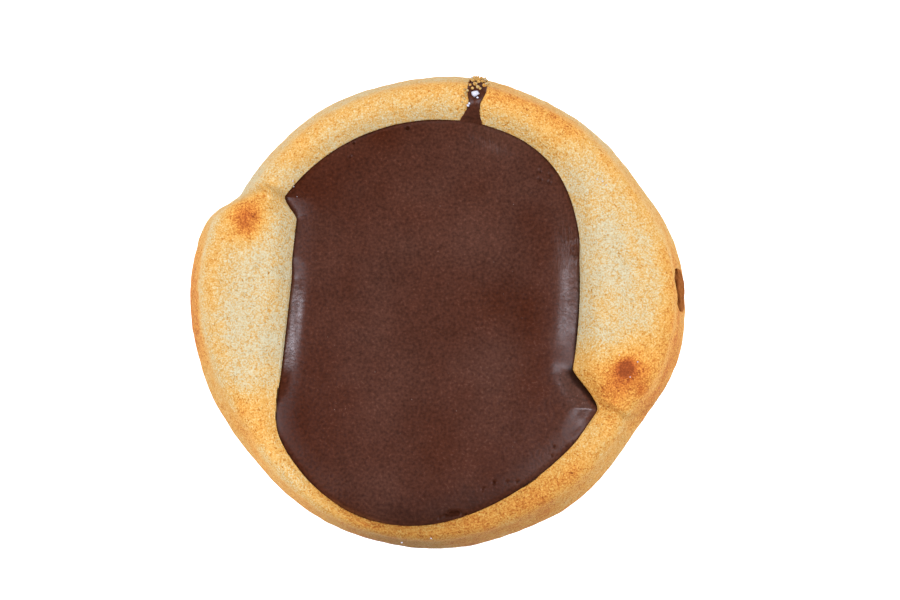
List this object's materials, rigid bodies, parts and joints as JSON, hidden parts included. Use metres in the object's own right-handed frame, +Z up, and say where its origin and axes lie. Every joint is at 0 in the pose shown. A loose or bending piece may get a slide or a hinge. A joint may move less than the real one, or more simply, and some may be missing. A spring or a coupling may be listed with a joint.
{
  "type": "cookie",
  "caption": "Round swirl-piped shortbread biscuit, two tapering strands wound nose to tail around a poured chocolate centre, with a drip over the rim.",
  "frame": {"origin": "centre of the box round the biscuit, on the plane that its flat underside rests on", "axes": "+Z up through the chocolate's face; +Y towards the drip side of the rim, +X towards the strand whose pulled tip is nearer the viewer"},
  "size_m": [0.0598, 0.0574, 0.0095],
  "materials": {
    "baked_dough": "matte, fine open crumb, browned on its ridges and pulled tips",
    "chocolate": "satin, set chocolate with a soft gloss at its rounded edge"
  },
  "bodies": {
    "root": {"biscuit": "baked_dough", "chocolate_filling": "chocolate"}
  },
  "joints": []
}
